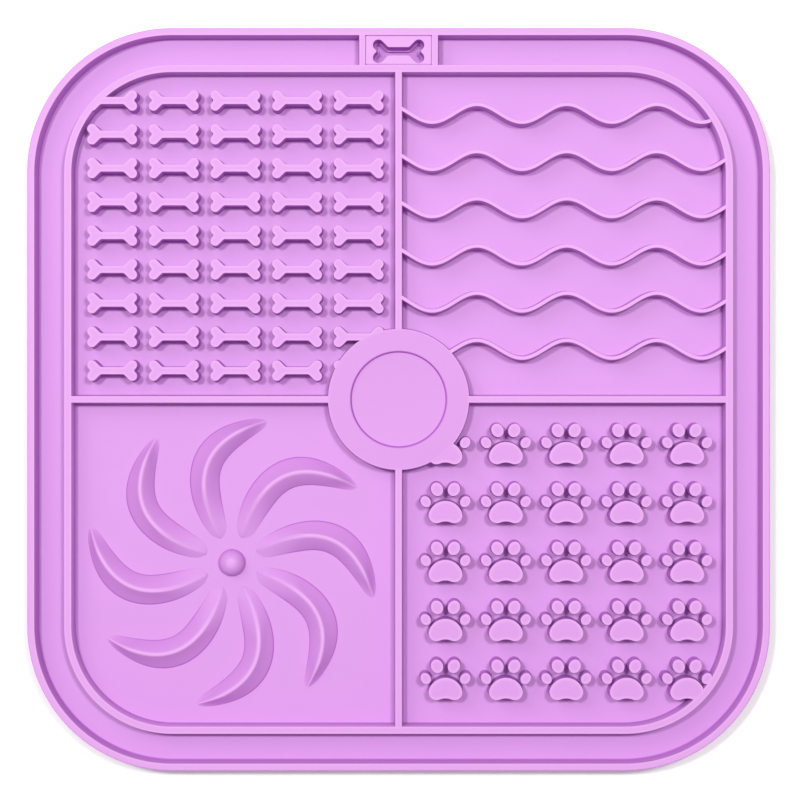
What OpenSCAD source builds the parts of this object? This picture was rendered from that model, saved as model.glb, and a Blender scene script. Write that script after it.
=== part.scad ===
// Square silicone lick mat with four textured cells, a centre disc and a food channel round them.
// Millimetres. +Z is up and the mat rests on its suction cups at z = 0.
// +Y points to the side with the bone-shaped pocket, and the origin is under the mat's centre.

/* [Mat] */
// Side length of the mat, across the outer faces of the rim
mat_w = 200; // [184:1:230]
// Corner radius of the mat's outline
corner_r = 39; // [35:0.5:45]
// Thickness of the base sheet
sheet_t = 1.8; // [1.2:0.1:3]

/* [Walls] */
// Height of the rim, walls and relief above the base sheet
wall_h = 6; // [4.5:0.1:8]
// Thickness of the rim and of the inner wall at the top
wall_t = 2; // [1.4:0.1:2.4]
// Width of the channel between the rim and the inner wall, at the top
channel_w = 7.95; // [7.5:0.05:10]
// How far each sloping wall face runs out towards its foot
draft = 0.27; // [0.05:0.01:0.4]

/* [Cross and disc] */
// Thickness of the cross dividers at the top
divider_t = 1.8; // [1.2:0.1:2.4]
// Diameter of the centre disc at the top
disc_d = 38; // [32:0.5:44]
// Diameter of the shallow round recess in the disc
recess_d = 25.9; // [18:0.1:28]
// Depth of that recess
recess_depth = 0.8; // [0.4:0.1:1.6]

/* [Pocket block] */
// Width of the block that fills the channel, between its two ribs
tab_w = 17.9; // [16:0.1:24]
// Thickness of the two ribs beside the block
tab_rib_t = 1.65; // [1.2:0.05:2.4]
// How far the top of the block lies below the walls
tab_drop = 0.25; // [0.1:0.05:0.8]
// Bevel round the top of the block
tab_bevel = 0.4; // [0.1:0.05:0.5]
// Length of the bone-shaped pocket
pocket_l = 13.7; // [11:0.1:14.5]
// Height of the pocket across its lobes
pocket_h = 6.2; // [5:0.1:6.4]
// How far the pocket's middle lies from the channel's middle, towards the cells
pocket_shift = 0.3; // [0:0.05:0.4]
// Width of the pocket's shaft
pocket_shaft_w = 2.1; // [1.6:0.1:2.6]
// Radius of the pocket's lobes
pocket_lobe_r = 1.4; // [1.1:0.05:1.5]
// Width of the ledge round the pocket's floor
ledge_w = 0.5; // [0.2:0.05:0.7]
// Height of that ledge
ledge_h = 1.5; // [0.3:0.1:3]

/* [Bones] */
// Length of a raised bone
bone_l = 13.5; // [10:0.1:14.5]
// Height of a bone across its lobes, as seen from above
bone_h = 5.6; // [4.6:0.1:6.6]
// Width of a bone's shaft
bone_shaft_w = 2; // [1.2:0.1:2.4]
// Radius of a bone's lobes
bone_lobe_r = 1.32; // [1:0.02:1.38]
// Clear distance from the inner wall to the first column of bones
bone_side_gap = 4.2; // [2:0.1:6]
// Clear distance from the last column of bones to the divider
bone_cross_gap = 3.1; // [2:0.1:6]
// Clear distance from the inner wall to the top row of bones
bone_top_gap = 4.8; // [2:0.05:6]
// Clear distance from the bottom row of bones to the divider
bone_foot_gap = 4.05; // [2:0.05:6]
// Least gap between two bones of a row
bone_least_gap = 2.4; // [1.5:0.1:2.8]

/* [Waves] */
// Thickness of a wave rib
wave_t = 1; // [0.8:0.1:1.8]
// Height of a wave's crest above its middle line
wave_rise = 2.4; // [1.5:0.1:3.2]
// Length of one whole wave
wave_l = 24.2; // [18:0.1:30]
// Distance from the divider to the first crest
wave_lead = 20.2; // [16:0.1:24]
// Distance from the inner wall to the middle line of the top wave
wave_top_gap = 11.05; // [8:0.05:13]
// Distance from the middle line of the bottom wave to the divider
wave_foot_gap = 12.6; // [10:0.1:14]

/* [Vortex] */
// Clear distance from the tips of the vanes to the sides of their cell
vortex_gap = 3.6; // [3:0.1:8]
// Height of a vane's crest above the base sheet
vane_h = 3.1; // [2.5:0.1:5]
// Diameter of the round knob in the middle of the vanes
knob_d = 7.3; // [5:0.1:9]
// Height of the knob
knob_h = 3.4; // [2:0.1:3.6]

/* [Paws] */
// Radius of the pad's upper arc
pad_r = 4.7; // [4.2:0.05:4.9]
// Radius of the pad's two lower lobes
pad_lobe_r = 2.16; // [1.9:0.02:2.3]
// Distance from the pad's middle to the centre of each lobe
pad_lobe_x = 2.42; // [2.3:0.02:2.5]
// Depth of the notch between the lobes
pad_notch = 0.5; // [0.3:0.05:0.6]
// Width of an inner toe
inner_toe_w = 3.3; // [2.6:0.1:3.6]
// Length of an inner toe
inner_toe_l = 3.8; // [3.7:0.1:4.2]
// Gap from the pad to an inner toe
inner_toe_gap = 1.5; // [1:0.1:1.8]
// Width of an outer toe
outer_toe_w = 2.7; // [2.2:0.1:3]
// Length of an outer toe
outer_toe_l = 3.2; // [3.1:0.1:3.5]
// Gap from the pad to an outer toe
outer_toe_gap = 0.65; // [0.5:0.05:1]
// Clear distance from the divider to the first column of paws
paw_cross_gap = 5.05; // [3:0.05:7]
// Clear distance from the last column of paws to the inner wall
paw_side_gap = 3.7; // [3:0.1:7]
// Clear distance from the divider to the toes of the top row
paw_top_gap = 5.55; // [3:0.05:7]
// Clear distance from the pads of the bottom row to the inner wall
paw_foot_gap = 7.05; // [3:0.05:9]
// Least gap between two paws of a row
paw_least_gap = 2; // [1.5:0.1:2.5]

/* [Suction cups] */
// Diameter of a suction cup at its lip
cup_d = 24; // [18:0.5:27]
// Diameter of a cup where it leaves the base sheet
cup_neck_d = 18; // [12:0.5:20]
// Height of a cup below the base sheet
cup_h = 2.2; // [1.8:0.1:3]
// Height of the upright edge of a cup's lip
cup_lip_h = 0.5; // [0.3:0.1:0.8]
// Width of the flat ring that a cup rests on
cup_lip_w = 0.6; // [0.4:0.1:1]
// Depth of the hollow under a cup
cup_hollow = 1.4; // [1:0.1:1.6]
// Clear distance from the mat's edge to the lips of the outer cups
cup_edge_gap = 10.5; // [10:0.5:14]

/* [Hidden] */
// Every piece of the mat, by name

$fn = 96;

// Colour of the moulded silicone
silicone = [0.86, 0.66, 0.94];

// Length by which a cutting solid runs past what it cuts
overrun = 1;

// Levels, from the lips of the suction cups upwards
floor_z = cup_h + sheet_t;
top_z = floor_z + wall_h;

// Places of the walls, measured from the mat's centre at the top of each face
half_w = mat_w / 2;
rim_in = half_w - wall_t;
inner_out = rim_in - channel_w;
inner_in = inner_out - wall_t;
cross_half = divider_t / 2;
cell_w = inner_in - cross_half;
cell_mid = cross_half + cell_w / 2;

// All the corners of the walls turn about one point in each quarter
arc_c = half_w - corner_r;

// How far a sloping face moves sideways for each millimetre of height
slope = draft / wall_h;

disc_r = disc_d / 2;

// Numbers of rows that have a node each, and of vanes
bone_rows = 9;
wave_ribs = 6;
paw_rows = 5;
cup_rows = 6;
vanes = 8;

// Numbers of columns that the cells have room for
bone_field = cell_w - bone_side_gap - bone_cross_gap;
bone_cols = floor((bone_field + bone_least_gap) / (bone_l + bone_least_gap));
outer_toe_angle = 50;
inner_toe_angle = 16.3;
outer_toe_place = pad_r + outer_toe_gap + outer_toe_l / 2;
inner_toe_place = pad_r + inner_toe_gap + inner_toe_l / 2;
paw_half_w = outer_toe_place * sin(outer_toe_angle) + outer_toe_w / 2;
paw_field = cell_w - paw_side_gap - paw_cross_gap;
paw_cols = floor((paw_field + paw_least_gap) / (2 * paw_half_w + paw_least_gap));

// Lean of the toes, outwards at the top
outer_toe_lean = 35;
inner_toe_lean = 24;

// Pad of a paw: every arc meets the next at a tangent
pad_lobe_y = sqrt(pow(pad_r - pad_lobe_r, 2) - pow(pad_lobe_x, 2));
pad_foot = pad_lobe_r - pad_lobe_y;
notch_top = pad_notch - pad_foot;
// The notch's arc touches both lobes from outside: its radius follows from the lobes' places
notch_lift = pad_lobe_y - notch_top;
notch_r = (pow(pad_lobe_x, 2) + pow(notch_lift, 2) - pow(pad_lobe_r, 2)) / (2 * (pad_lobe_r - notch_lift));
notch_y = notch_top - notch_r;

// Reach of a paw above the centre of its pad
paw_reach = inner_toe_place * cos(inner_toe_angle) + inner_toe_l / 2;

// Vortex: the vanes fill a circle about a point near the middle of their cell
vortex_r = cell_w / 2 - vortex_gap;
vortex_off = [-0.75, 0.2];
vortex_at = [vortex_off[0] - cell_mid, vortex_off[1] - cell_mid];

// Control points of a vane's crest and two feet, from root to tip, as shares of the vortex radius
crest_share = [[0.06, 0.17], [0.25, 0.80], [0.66, 0.62], [0.85, 0.51]];
back_share = [[0.03, 0.18], [0.02, 0.53], [0.38, 0.98], [0.86, 0.53]];
front_share = [[0.11, 0.14], [0.37, 0.51], [0.33, 0.59], [0.84, 0.48]];

// A vane's flank bends over to its crest: how far up the flank, and how high it is there
flank_share = [0.85, 0.95];

// Stretches of a vane at its root and tip over which its outline closes round
root_close = 0.06;
tip_close = 0.045;

// Stretches at the root and tip over which its height is eased, and the height kept at the root
root_ease = 0.25;
tip_ease = 0.22;
root_keep = 0.5;

// Least height and width that a vane keeps at its two ends
end_share = 0.04;
vane_steps = 28;

// Steps in one whole wave of a rib
wave_steps = 20;

// Steps from the middle of a cup's hollow to its lip
cup_steps = 8;

// Spread of the suction cups
cup_pitch = (mat_w - 2 * cup_edge_gap - cup_d) / (cup_rows - 1);

// Place number i of n, evenly spread from one end to the other
function spread(first, last, i, n) = n == 1 ? first : first + (last - first) * (i - 1) / (n - 1);

// Smooth rise from 0 to 1
function rise(x) = x <= 0 ? 0 : x >= 1 ? 1 : x * x * (3 - 2 * x);

// Point at share t along a cubic curve with four control points
function curve_at(c, t) =
    c[0] * pow(1 - t, 3) + 3 * c[1] * t * pow(1 - t, 2) + 3 * c[2] * pow(t, 2) * (1 - t) + c[3] * pow(t, 3);

// One quarter of a ring of the given section, with the straight run that leads to the next quarter
module ring_quarter(section) {
    translate([arc_c, arc_c, 0])
        rotate_extrude(angle = 90)
            polygon(section);
    translate([arc_c, arc_c, 0])
        rotate([90, 0, 0])
            linear_extrude(2 * arc_c)
                polygon(section);
}

// Wall round the mat, from its section in distances from the corner's centre
module ring(section) {
    for (quarter = [0:3])
        rotate([0, 0, 90 * quarter])
            ring_quarter(section);
}

// Rounded square block with sides that lean out by the walls' slope, r wide at its corners at the top
module leaning_block(r, z_low, z_high) {
    r_low = r - slope * (top_z - z_low);
    r_high = r - slope * (top_z - z_high);
    ring([[0, z_low], [r_low, z_low], [r_high, z_high], [0, z_high]]);
    translate([-arc_c, -arc_c, z_low])
        cube([2 * arc_c, 2 * arc_c, z_high - z_low]);
}

// Space inside the inner wall, taller than the wall at both ends
module cells_space() {
    leaning_block(inner_in - arc_c, floor_z - overrun, top_z + overrun);
}

// The centre disc without its recess, longer by extra at both ends
module disc_body(extra) {
    translate([0, 0, floor_z - extra])
        cylinder(h = wall_h + 2 * extra, r1 = disc_r + draft + slope * extra, r2 = disc_r - slope * extra);
}

// Keeps what lies inside the inner wall and outside the disc
module fit_to_cells() {
    difference() {
        intersection() {
            children();
            cells_space();
        }
        disc_body(overrun);
    }
}

module base_sheet() {
    color(silicone)
        translate([0, 0, cup_h])
            linear_extrude(sheet_t)
                union() {
                    square([mat_w, 2 * arc_c], center = true);
                    square([2 * arc_c, mat_w], center = true);
                    for (x = [-arc_c, arc_c])
                        for (y = [-arc_c, arc_c])
                            translate([x, y])
                                circle(r = corner_r);
                }
}

// Rim: upright outside, sloping towards the channel
module outer_rim() {
    r_in = corner_r - wall_t;
    color(silicone)
        ring([[r_in - draft, floor_z], [corner_r, floor_z], [corner_r, top_z], [r_in, top_z]]);
}

// Inner wall: slopes on both faces
module inner_wall() {
    r_out = inner_out - arc_c;
    r_in = inner_in - arc_c;
    color(silicone)
        ring([[r_in - draft, floor_z], [r_out + draft, floor_z], [r_out, top_z], [r_in, top_z]]);
}

// One arm of the cross, from the disc to the inner wall, at the given turn from +Y
module divider(turn) {
    foot = cross_half + draft;
    color(silicone)
        fit_to_cells()
            rotate([90, 0, turn + 180])
                linear_extrude(inner_out)
                    polygon([[-foot, floor_z], [foot, floor_z], [cross_half, top_z], [-cross_half, top_z]]);
}

module centre_disc() {
    color(silicone)
        difference() {
            disc_body(0);
            translate([0, 0, top_z - recess_depth])
                cylinder(h = recess_depth + overrun, d = recess_d);
        }
}

// Outline of a bone, seen from above: a shaft, four round lobes and arms at 45 degrees to them
module bone_outline(l, h, shaft_w, lobe_r) {
    lobe_x = l / 2 - lobe_r;
    lobe_y = h / 2 - lobe_r;
    hub_x = lobe_x - lobe_y;
    arm_l = lobe_y / sin(45);
    square([2 * hub_x, shaft_w], center = true);
    for (end = [0, 180])
        for (side = [-1, 1])
            rotate(end) {
                translate([lobe_x, side * lobe_y])
                    circle(r = lobe_r);
                translate([hub_x, 0])
                    rotate(side * 45)
                        translate([0, -lobe_r])
                            square([arm_l, 2 * lobe_r]);
            }
}

// Filling of the channel, from the inner wall to the rim, between two places along it
module channel_fill(x_low, x_high, z_high) {
    y_in = inner_out + draft;
    y_out = rim_in - draft;
    lean = slope * (z_high - floor_z);
    translate([x_low, 0, 0])
        rotate([90, 0, 90])
            linear_extrude(x_high - x_low)
                polygon([[y_in, floor_z], [y_out, floor_z], [y_out + lean, z_high], [y_in - lean, z_high]]);
}

// Block with the bone-shaped pocket, bevelled round its top
module tab_block() {
    block_z = top_z - tab_drop;
    block_y = (inner_out + rim_in) / 2;
    pocket_y = block_y - pocket_shift;
    bevel_z = block_z - tab_bevel;
    bevel_y = channel_w / 2 - slope * tab_drop;
    bevel_face = 2 * tab_bevel * sin(45);
    color(silicone)
        difference() {
            channel_fill(-tab_w / 2, tab_w / 2, block_z);
            for (side = [0, 180])
                translate([0, block_y, 0])
                    rotate([0, 0, side]) {
                        translate([tab_w / 2, 0, block_z])
                            rotate([90, 45, 0])
                                cube([bevel_face, bevel_face, 2 * channel_w], center = true);
                        translate([0, bevel_y, block_z])
                            rotate([45, 0, 0])
                                cube([2 * tab_w, bevel_face, bevel_face], center = true);
                    }
            translate([0, pocket_y, floor_z + ledge_h])
                linear_extrude(wall_h)
                    bone_outline(pocket_l, pocket_h, pocket_shaft_w, pocket_lobe_r);
            translate([0, pocket_y, floor_z - overrun])
                linear_extrude(wall_h)
                    bone_outline(pocket_l - 2 * ledge_w, pocket_h - 2 * ledge_w,
                                 pocket_shaft_w - 2 * ledge_w, pocket_lobe_r - ledge_w);
        }
}

module tab_rib_left() {
    color(silicone)
        channel_fill(-tab_w / 2 - tab_rib_t, -tab_w / 2, top_z);
}

module tab_rib_right() {
    color(silicone)
        channel_fill(tab_w / 2, tab_w / 2 + tab_rib_t, top_z);
}

// Row of raised bones, counted from the wall down to the divider
module bone_row(row) {
    y_top = inner_in - bone_top_gap - bone_h / 2;
    y_foot = cross_half + bone_foot_gap + bone_h / 2;
    x_first = -(inner_in - bone_side_gap - bone_l / 2);
    x_last = -(cross_half + bone_cross_gap + bone_l / 2);
    y = spread(y_top, y_foot, row, bone_rows);
    color(silicone)
        fit_to_cells()
            for (col = [1:bone_cols])
                translate([spread(x_first, x_last, col, bone_cols), y, floor_z])
                    linear_extrude(wall_h)
                        bone_outline(bone_l, bone_h, bone_shaft_w, bone_lobe_r);
}

// Height of a wave's middle line at x, and the sideways step from there to a face of the rib
function wave_y(x) = wave_rise * cos(360 * (x - cross_half - wave_lead) / wave_l);
function wave_slant(x) = -wave_rise * 2 * PI / wave_l * sin(360 * (x - cross_half - wave_lead) / wave_l);
function wave_face(x, side) =
    [x, wave_y(x)] + side * wave_t / 2 * [-wave_slant(x), 1] / sqrt(1 + pow(wave_slant(x), 2));

// Wave rib of even thickness, counted from the wall down to the divider
module wave_rib(row) {
    y_top = inner_in - wave_top_gap;
    y_foot = cross_half + wave_foot_gap;
    step = wave_l / wave_steps;
    steps = ceil(inner_out / step);
    color(silicone)
        fit_to_cells()
            difference() {
                translate([0, spread(y_top, y_foot, row, wave_ribs), floor_z])
                    linear_extrude(wall_h)
                        polygon(concat([for (i = [0:steps]) wave_face(i * step, 1)],
                                       [for (i = [steps:-1:0]) wave_face(i * step, -1)]));
                divider_cut();
            }
}

// The north divider, longer at both ends and reaching past the first wave's start
module divider_cut() {
    z_low = floor_z - overrun;
    z_high = top_z + overrun;
    low = cross_half + draft + slope * overrun;
    high = cross_half - slope * overrun;
    rotate([90, 0, 180])
        linear_extrude(inner_out)
            polygon([[-low - overrun, z_low], [low, z_low], [high, z_high], [-low - overrun, z_high]]);
}

// Share of a vane's length at a step: the steps are shorter towards both ends
function vane_at(i) = (1 - cos(180 * i / vane_steps)) / 2;

// How far the outline has closed in at share t, and the width that this leaves, as shares of the whole
function vane_end(t) = max(0, 1 - t / root_close, 1 - (1 - t) / tip_close);
function vane_close(t) = max(end_share, sqrt(1 - pow(vane_end(t), 2)));
function vane_width(t) = norm(curve_at(back_share, t) - curve_at(front_share, t)) * vane_close(t);
vane_widest = max([for (i = [0:vane_steps]) vane_width(vane_at(i))]);

// Height of a vane at share t, as a share of the full one. It follows the width, so that the flanks keep
// their slope, and is eased where the vane leaves the sheet at its root and runs out at its tip
function vane_root(t) = root_keep + (1 - root_keep) * rise(t / root_ease);
function vane_tip(t) = 1 - pow(max(0, 1 - (1 - t) / tip_ease), 2);
function vane_rise(t) = max(end_share, vane_root(t) * vane_tip(t) * vane_width(t) / vane_widest);

// Point of a vane's section at share t: across is 0 at the crest and 1 at the foot given by edge
function vane_point(edge, t, across, up) =
    let (crest = curve_at(crest_share, t))
    let (foot = curve_at(edge, t))
    let (flat = vortex_r * (crest + (foot - crest) * across * vane_close(t)))
    [flat[0], flat[1], floor_z + vane_h * up * vane_rise(t)];

// Section of a vane: back foot, back flank, crest, front flank, front foot
function vane_section(t) = [
    vane_point(back_share, t, 1, 0),
    vane_point(back_share, t, 1 - flank_share[0], flank_share[1]),
    vane_point(crest_share, t, 0, 1),
    vane_point(front_share, t, 1 - flank_share[0], flank_share[1]),
    vane_point(front_share, t, 1, 0)];

// Curved vane with a sharp crest, which closes round and runs out low at both ends
module vortex_vane(turn) {
    n = 5;
    points = [for (i = [0:vane_steps]) each vane_section(vane_at(i))];
    sides = [for (i = [0:vane_steps - 1]) for (j = [0:n - 1])
        each [[i * n + j, i * n + (j + 1) % n, (i + 1) * n + j],
              [i * n + (j + 1) % n, (i + 1) * n + (j + 1) % n, (i + 1) * n + j]]];
    root = [for (j = [1:n - 2]) [0, j + 1, j]];
    tip = [for (j = [1:n - 2]) [vane_steps * n, vane_steps * n + j, vane_steps * n + j + 1]];
    color(silicone)
        translate([vortex_at[0], vortex_at[1], 0])
            rotate([0, 0, turn])
                polyhedron(points, concat(sides, root, tip));
}

// Knob in the middle of the vanes: the top of a ball
module vortex_knob() {
    ball_r = (pow(knob_d / 2, 2) + pow(knob_h, 2)) / (2 * knob_h);
    color(silicone)
        translate([vortex_at[0], vortex_at[1], floor_z])
            intersection() {
                translate([0, 0, knob_h - ball_r])
                    sphere(r = ball_r);
                cylinder(h = knob_h + overrun, d = knob_d + overrun);
            }
}

// Outline of a paw's pad: one wide arc, two lobes and a notch between them
module pad_outline() {
    reach = pad_r - pad_lobe_r;
    tangent_x = pad_lobe_x * pad_r / reach;
    tangent_y = pad_lobe_y * pad_r / reach;
    touch = pad_lobe_r / (pad_lobe_r + notch_r);
    touch_x = pad_lobe_x * (1 - touch);
    touch_y = pad_lobe_y + (notch_y - pad_lobe_y) * touch;
    intersection() {
        circle(r = pad_r);
        translate([-pad_r, tangent_y])
            square([2 * pad_r, pad_r]);
    }
    for (side = [-1, 1])
        translate([side * pad_lobe_x, pad_lobe_y])
            circle(r = pad_lobe_r);
    difference() {
        polygon([[-tangent_x, tangent_y], [-pad_lobe_x, pad_lobe_y], [-touch_x, touch_y],
                 [touch_x, touch_y], [pad_lobe_x, pad_lobe_y], [tangent_x, tangent_y]]);
        translate([0, notch_y])
            circle(r = notch_r);
    }
}

// Toe with round ends, at the given angle and distance from the pad's centre
module toe_outline(w, l, angle, place, lean) {
    rotate(-angle)
        translate([0, place])
            rotate(angle + lean) {
                square([w, l - w], center = true);
                for (end = [-1, 1])
                    translate([0, end * (l - w) / 2])
                        circle(d = w);
            }
}

module paw_outline() {
    pad_outline();
    toe_outline(outer_toe_w, outer_toe_l, outer_toe_angle, outer_toe_place, -outer_toe_lean);
    toe_outline(inner_toe_w, inner_toe_l, inner_toe_angle, inner_toe_place, -inner_toe_lean);
    toe_outline(outer_toe_w, outer_toe_l, -outer_toe_angle, outer_toe_place, outer_toe_lean);
    toe_outline(inner_toe_w, inner_toe_l, -inner_toe_angle, inner_toe_place, inner_toe_lean);
}

// Row of raised paws, counted from the divider down to the wall
module paw_row(row) {
    x_first = cross_half + paw_cross_gap + paw_half_w;
    x_last = inner_in - paw_side_gap - paw_half_w;
    y_top = -(cross_half + paw_top_gap + paw_reach);
    y_foot = -(inner_in - paw_foot_gap - pad_foot);
    y = spread(y_top, y_foot, row, paw_rows);
    color(silicone)
        fit_to_cells()
            for (col = [1:paw_cols])
                translate([spread(x_first, x_last, col, paw_cols), y, floor_z])
                    linear_extrude(wall_h)
                        paw_outline();
}

// Suction cup under the sheet: a flared skirt with an upright lip and a hollow that is part of a ball
module suction_cup() {
    cup_r = cup_d / 2;
    hollow_half = cup_r - cup_lip_w;
    hollow_r = (pow(hollow_half, 2) + pow(cup_hollow, 2)) / (2 * cup_hollow);
    hollow_angle = asin(hollow_half / hollow_r);
    hollow = [for (i = [0:cup_steps])
        let (a = hollow_angle * i / cup_steps)
        [hollow_r * sin(a), hollow_r * (cos(a) - 1) + cup_hollow]];
    rotate_extrude()
        polygon(concat(hollow, [[cup_r, 0], [cup_r, cup_lip_h], [cup_neck_d / 2, cup_h], [0, cup_h]]));
}

// Row of suction cups, counted from the side with the pocket
module suction_cups_row(row) {
    half = cup_pitch * (cup_rows - 1) / 2;
    color(silicone)
        for (col = [1:cup_rows])
            translate([spread(-half, half, col, cup_rows), spread(half, -half, row, cup_rows), 0])
                suction_cup();
}

base_sheet();
outer_rim();
inner_wall();
divider(0);  // divider_north
divider(-90);  // divider_east
divider(180);  // divider_south
divider(90);  // divider_west
centre_disc();
tab_block();
tab_rib_left();
tab_rib_right();
bone_row(1);  // bone_row_1
bone_row(2);  // bone_row_2
bone_row(3);  // bone_row_3
bone_row(4);  // bone_row_4
bone_row(5);  // bone_row_5
bone_row(6);  // bone_row_6
bone_row(7);  // bone_row_7
bone_row(8);  // bone_row_8
bone_row(9);  // bone_row_9
wave_rib(1);  // wave_rib_1
wave_rib(2);  // wave_rib_2
wave_rib(3);  // wave_rib_3
wave_rib(4);  // wave_rib_4
wave_rib(5);  // wave_rib_5
wave_rib(6);  // wave_rib_6
vortex_knob();
vortex_vane(0);  // vortex_vane_1
vortex_vane(360 / vanes);  // vortex_vane_2
vortex_vane(2 * 360 / vanes);  // vortex_vane_3
vortex_vane(3 * 360 / vanes);  // vortex_vane_4
vortex_vane(4 * 360 / vanes);  // vortex_vane_5
vortex_vane(5 * 360 / vanes);  // vortex_vane_6
vortex_vane(6 * 360 / vanes);  // vortex_vane_7
vortex_vane(7 * 360 / vanes);  // vortex_vane_8
paw_row(1);  // paw_row_1
paw_row(2);  // paw_row_2
paw_row(3);  // paw_row_3
paw_row(4);  // paw_row_4
paw_row(5);  // paw_row_5
suction_cups_row(1);  // suction_cups_row_1
suction_cups_row(2);  // suction_cups_row_2
suction_cups_row(3);  // suction_cups_row_3
suction_cups_row(4);  // suction_cups_row_4
suction_cups_row(5);  // suction_cups_row_5
suction_cups_row(6);  // suction_cups_row_6
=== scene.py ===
"""Dresses a packed silicone lick mat: every moulded feature, its finish, and a plain studio.

All sizes are in metres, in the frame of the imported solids: +Z is up, +Y points to the side with the
bone-shaped pocket, and the mat rests on its suction cups at z = 0.
"""

import logging
from dataclasses import dataclass
from enum import Enum

import bmesh
import bpy
import numpy as np
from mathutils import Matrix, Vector
from numpy.typing import NDArray


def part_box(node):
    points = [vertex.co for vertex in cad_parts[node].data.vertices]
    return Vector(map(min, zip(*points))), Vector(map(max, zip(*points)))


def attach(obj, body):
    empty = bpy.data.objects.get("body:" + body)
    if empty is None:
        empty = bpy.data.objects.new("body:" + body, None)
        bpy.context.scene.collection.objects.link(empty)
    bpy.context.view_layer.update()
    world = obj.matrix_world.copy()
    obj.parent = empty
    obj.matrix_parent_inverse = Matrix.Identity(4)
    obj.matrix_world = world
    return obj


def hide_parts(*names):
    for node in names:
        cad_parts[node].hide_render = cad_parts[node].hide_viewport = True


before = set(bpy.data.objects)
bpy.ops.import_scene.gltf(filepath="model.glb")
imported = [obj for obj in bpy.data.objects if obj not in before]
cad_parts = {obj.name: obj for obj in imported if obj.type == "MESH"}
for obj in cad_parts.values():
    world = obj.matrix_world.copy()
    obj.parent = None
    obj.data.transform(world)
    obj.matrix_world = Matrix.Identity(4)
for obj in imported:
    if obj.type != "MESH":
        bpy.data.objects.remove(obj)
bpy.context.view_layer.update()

LOG = logging.getLogger("lick_mat")
MM = 0.001
BODY = "root"
# Point attribute that paints light and shade into the colour: below 0 painted shade, above 0 a painted
# highlight
PAINTED_LIGHT = "tone"
# Points of an outline that lie closer together than this are one point
SAME_PLACE = 1e-4 * MM
# Numbers of a Mix node's colour sockets, because its sockets share their names
MIX_A, MIX_B, MIX_RESULT = 6, 7, 2

Array = NDArray[np.float64]


class Way(Enum):
    """Directions of the four arms of the cross, as turns from +Y in degrees."""

    NORTH = 0.0
    EAST = -90.0
    SOUTH = 180.0
    WEST = 90.0


class Hide(Enum):
    """How far below the walls' top a form ends that runs into them, so that no two tops share a plane."""

    DIVIDER = 0.004 * MM
    RIB = 0.008 * MM
    RELIEF = 0.012 * MM


@dataclass
class Surface:
    """A closed surface: its points, four-sided faces, flat many-sided faces and the tone of each point."""

    points: Array
    quads: NDArray[np.int64]
    caps: list[NDArray[np.int64]]
    tones: Array

    def volume(self) -> float:
        """Adds up the solids that the faces' triangles make with the origin, each a . (b x c) / 6.

        Returns:
            The signed volume, above zero when the faces point outwards.
        """
        p = self.points
        total = 0.0
        for a, b, c in ((0, 1, 2), (0, 2, 3)):
            corner = [p[self.quads[:, k]] for k in (a, b, c)]
            total += float(np.einsum("ij,ij->", corner[0], np.cross(corner[1], corner[2])))
        for cap in self.caps:
            fan = p[cap[1:]]
            total += float(np.einsum("j,ij->", p[cap[0]], np.cross(fan[:-1], fan[1:])))
        return total / 6.0

    def outward(self) -> "Surface":
        """Turns all the faces round where they point inwards.

        Returns:
            The same surface with its faces pointing outwards.
        """
        if self.volume() >= 0.0:
            return self
        return Surface(self.points, self.quads[:, ::-1], [cap[::-1] for cap in self.caps], self.tones)

    @staticmethod
    def from_loops(
        loops: Array, tones: Array | float = 0.0, capped: bool = True, endless: bool = False
    ) -> "Surface":
        """Joins closed loops of points into a tube.

        The point at loop i and place j meets place j + 1 of its own loop and place j of loop i + 1.

        Args:
            loops: Points as (loops, places, 3).
            tones: Tone of each point, as (loops, places) or a shape that stretches to it.
            capped: Whether a flat face closes the first and the last loop.
            endless: Whether the last loop joins the first.

        Returns:
            The surface, with its faces pointing outwards.
        """
        rows, places = loops.shape[:2]
        index = np.arange(rows * places).reshape(rows, places)
        near = index if endless else index[:-1]
        far = np.roll(index, -1, axis=0) if endless else index[1:]
        quads = np.stack((near, np.roll(near, -1, axis=1), np.roll(far, -1, axis=1), far), axis=-1)
        caps = [] if endless or not capped else [index[0][::-1], index[-1]]
        spread = np.broadcast_to(tones, (rows, places)).ravel()
        return Surface(loops.reshape(-1, 3), quads.reshape(-1, 4), caps, spread).outward()

    @staticmethod
    def joined(parts: list["Surface"]) -> "Surface":
        """Puts several surfaces into one and renumbers their faces.

        Args:
            parts: The surfaces.

        Returns:
            One surface with all their points, faces and tones.
        """
        starts = np.cumsum([0] + [len(part.points) for part in parts])
        return Surface(
            np.vstack([part.points for part in parts]),
            np.vstack([part.quads + start for part, start in zip(parts, starts)]),
            [cap + start for part, start in zip(parts, starts) for cap in part.caps],
            np.concatenate([part.tones for part in parts]),
        )


@dataclass(frozen=True)
class Arc:
    """Part of a circle, in degrees. A hollow arc belongs to a circle that lies outside the outline."""

    x: float
    y: float
    radius: float
    start: float
    end: float
    steps: int
    hollow: bool = False

    def sampled(self) -> tuple[Array, Array]:
        """Walks along the arc in even steps: centre + radius * (cos a, sin a).

        Returns:
            Points on the arc, and at each the direction that leads out of the outline.
        """
        angle = np.radians(np.linspace(self.start, self.end, self.steps + 1))
        ray = np.column_stack((np.cos(angle), np.sin(angle)))
        return np.array([self.x, self.y]) + self.radius * ray, -ray if self.hollow else ray


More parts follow.
